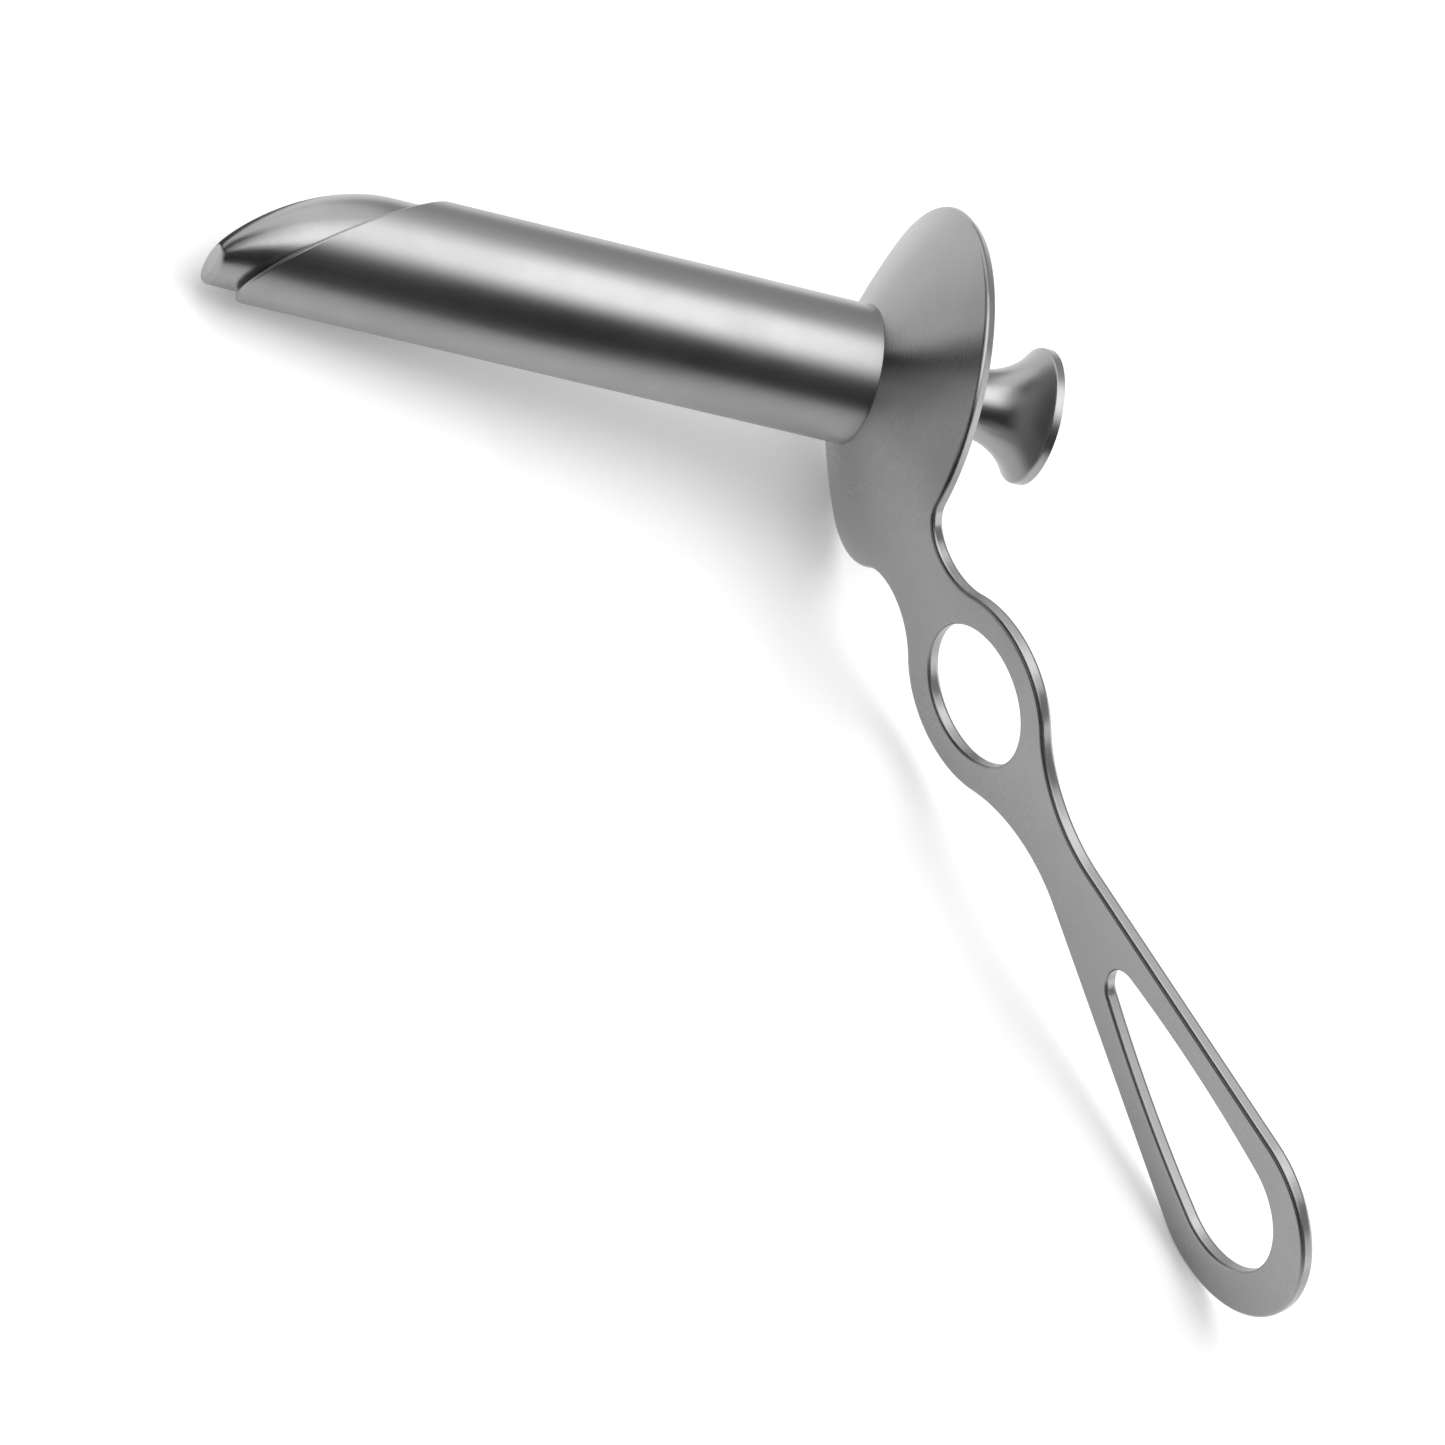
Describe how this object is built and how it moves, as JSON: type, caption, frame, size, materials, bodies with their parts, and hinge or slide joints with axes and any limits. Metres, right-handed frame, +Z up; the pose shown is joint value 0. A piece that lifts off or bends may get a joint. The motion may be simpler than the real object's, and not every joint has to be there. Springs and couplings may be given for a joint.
{
  "type": "anal speculum",
  "caption": "Tubular steel anal speculum: slant-mouthed barrel, dished flange with ring and loop handle, and a bullet-nosed obturator with a flared knob.",
  "frame": {"origin": "centre of the object's bounding box, on the surface that it rests on", "axes": "+Z up as it lies at rest, +X along the barrel towards the user as seen from above, +Y away from the handle's loop"},
  "size_m": [0.2308, 0.2092, 0.0709],
  "materials": {
    "satin_steel": "satin",
    "polished_steel": "fine satin, nearly polished"
  },
  "bodies": {
    "speculum": {"barrel": "satin_steel", "flange_handle": "satin_steel"},
    "obturator": {"obturator_head": "polished_steel", "obturator_rod": "polished_steel", "obturator_collar": "polished_steel", "obturator_knob": "polished_steel"}
  },
  "joints": [
    {"name": "obturator_slide", "type": "slide", "parent": "speculum", "child": "obturator", "axis": [0.9843, 0, 0.1766], "range_m": [0, 0.14]}
  ]
}
